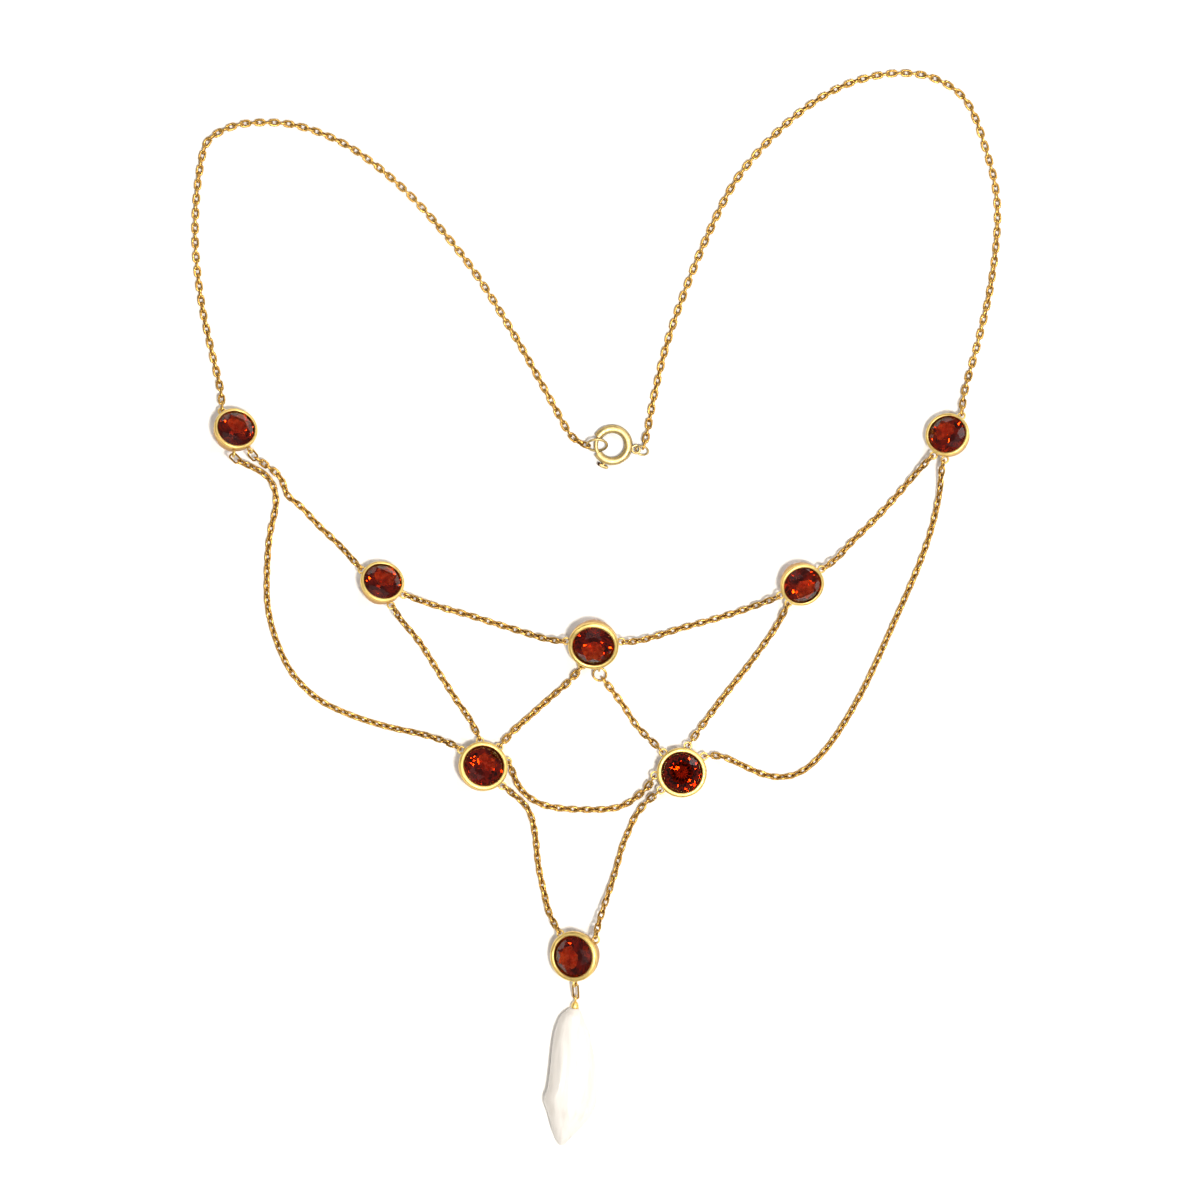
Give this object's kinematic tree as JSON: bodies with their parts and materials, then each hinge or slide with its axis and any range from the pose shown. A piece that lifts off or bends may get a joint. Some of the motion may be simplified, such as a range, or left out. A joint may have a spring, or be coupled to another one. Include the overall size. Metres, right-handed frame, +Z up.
{
  "type": "citrine necklace",
  "caption": "Gold festoon necklace lying flat: round citrines in plain settings, fine chains in swags, a long pearl drop and a bolt ring clasp.",
  "frame": {"origin": "middle of the whole necklace seen from above, on the surface that it lies on", "axes": "+Z up from the surface, +Y from the pendant towards the back of the neck, +X to the wearer's left, which is the right of the picture"},
  "size_m": [0.1293, 0.1719, 0.0064],
  "materials": {
    "citrine": "faceted and polished deep orange-red citrine",
    "bright_gold": "polished yellow gold",
    "chain_gold": "warm rose-yellow gold wire, lightly worn",
    "pearl": "white freshwater pearl, soft lustre"
  },
  "bodies": {
    "necklace": {"stone_outer_left": "citrine", "stone_inner_left": "citrine", "stone_centre": "citrine", "stone_inner_right": "citrine", "stone_outer_right": "citrine", "stone_lower_left": "citrine", "stone_lower_right": "citrine", "stone_pendant": "citrine", "setting_outer_left": "bright_gold", "setting_inner_left": "bright_gold", "setting_centre": "bright_gold", "setting_inner_right": "bright_gold", "setting_outer_right": "bright_gold", "setting_lower_left": "bright_gold", "setting_lower_right": "bright_gold", "setting_pendant": "bright_gold", "neck_chain_left": "chain_gold", "neck_chain_right": "chain_gold", "swag_left": "chain_gold", "swag_right": "chain_gold", "side_chain_left": "chain_gold", "side_chain_right": "chain_gold", "front_chain_left": "chain_gold", "front_chain_right": "chain_gold", "drop_chain_outer_left": "chain_gold", "drop_chain_inner_left": "chain_gold", "drop_chain_inner_right": "chain_gold", "drop_chain_outer_right": "chain_gold", "bridge_chain": "chain_gold", "pendant_chain_left": "chain_gold", "pendant_chain_right": "chain_gold", "clasp_jump_ring_left": "bright_gold", "clasp_jump_ring_right": "bright_gold", "jump_ring_swag": "bright_gold", "jump_ring_side": "bright_gold", "jump_ring_centre": "bright_gold", "pearl_jump_ring": "bright_gold", "clasp_ring": "bright_gold", "pearl_peg": "bright_gold", "pearl": "pearl"},
    "bolt": {"clasp_bolt": "bright_gold"}
  },
  "joints": [
    {"name": "bolt_turn", "type": "hinge", "parent": "necklace", "child": "bolt", "pos_m": [0.0026, 0.0262, 0.0009], "axis": [0, 0, 1], "range_deg": [0, 65], "stiffness_Nm_per_rad": 0.002, "springref_deg": -57.3}
  ]
}
